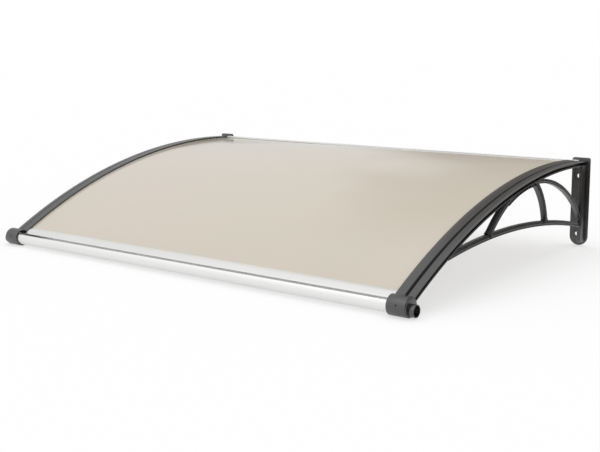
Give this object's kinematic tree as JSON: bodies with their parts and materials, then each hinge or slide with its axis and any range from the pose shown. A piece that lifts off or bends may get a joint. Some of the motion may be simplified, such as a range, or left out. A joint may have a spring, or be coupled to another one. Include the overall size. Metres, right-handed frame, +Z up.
{
  "type": "door canopy",
  "caption": "Arched door canopy with a smooth beige rigid sheet held between black moulded openwork brackets, an aluminium gutter bar in front and a slim rear bar.",
  "frame": {"origin": "middle of the bounding box's bottom: the plane on which the front collars and the wall plates' feet stand", "axes": "+X along the wall, towards the canopy's left-hand side as seen from inside the house; +Y towards the wall; +Z up"},
  "size_m": [1.2234, 0.8314, 0.2174],
  "materials": {
    "black_plastic": "satin, moulded",
    "tinted_sheet": "glossy, beige-brown tint",
    "aluminium": "satin, bare extrusion",
    "screw_steel": "blackened steel"
  },
  "bodies": {
    "root": {"bracket_left": "black_plastic", "bracket_right": "black_plastic", "canopy_sheet": "tinted_sheet", "gutter_bar": "aluminium", "rear_bar": "aluminium", "drain_cap_left": "black_plastic", "drain_cap_right": "black_plastic", "collar_screw_left": "screw_steel", "collar_screw_right": "screw_steel"}
  },
  "joints": []
}
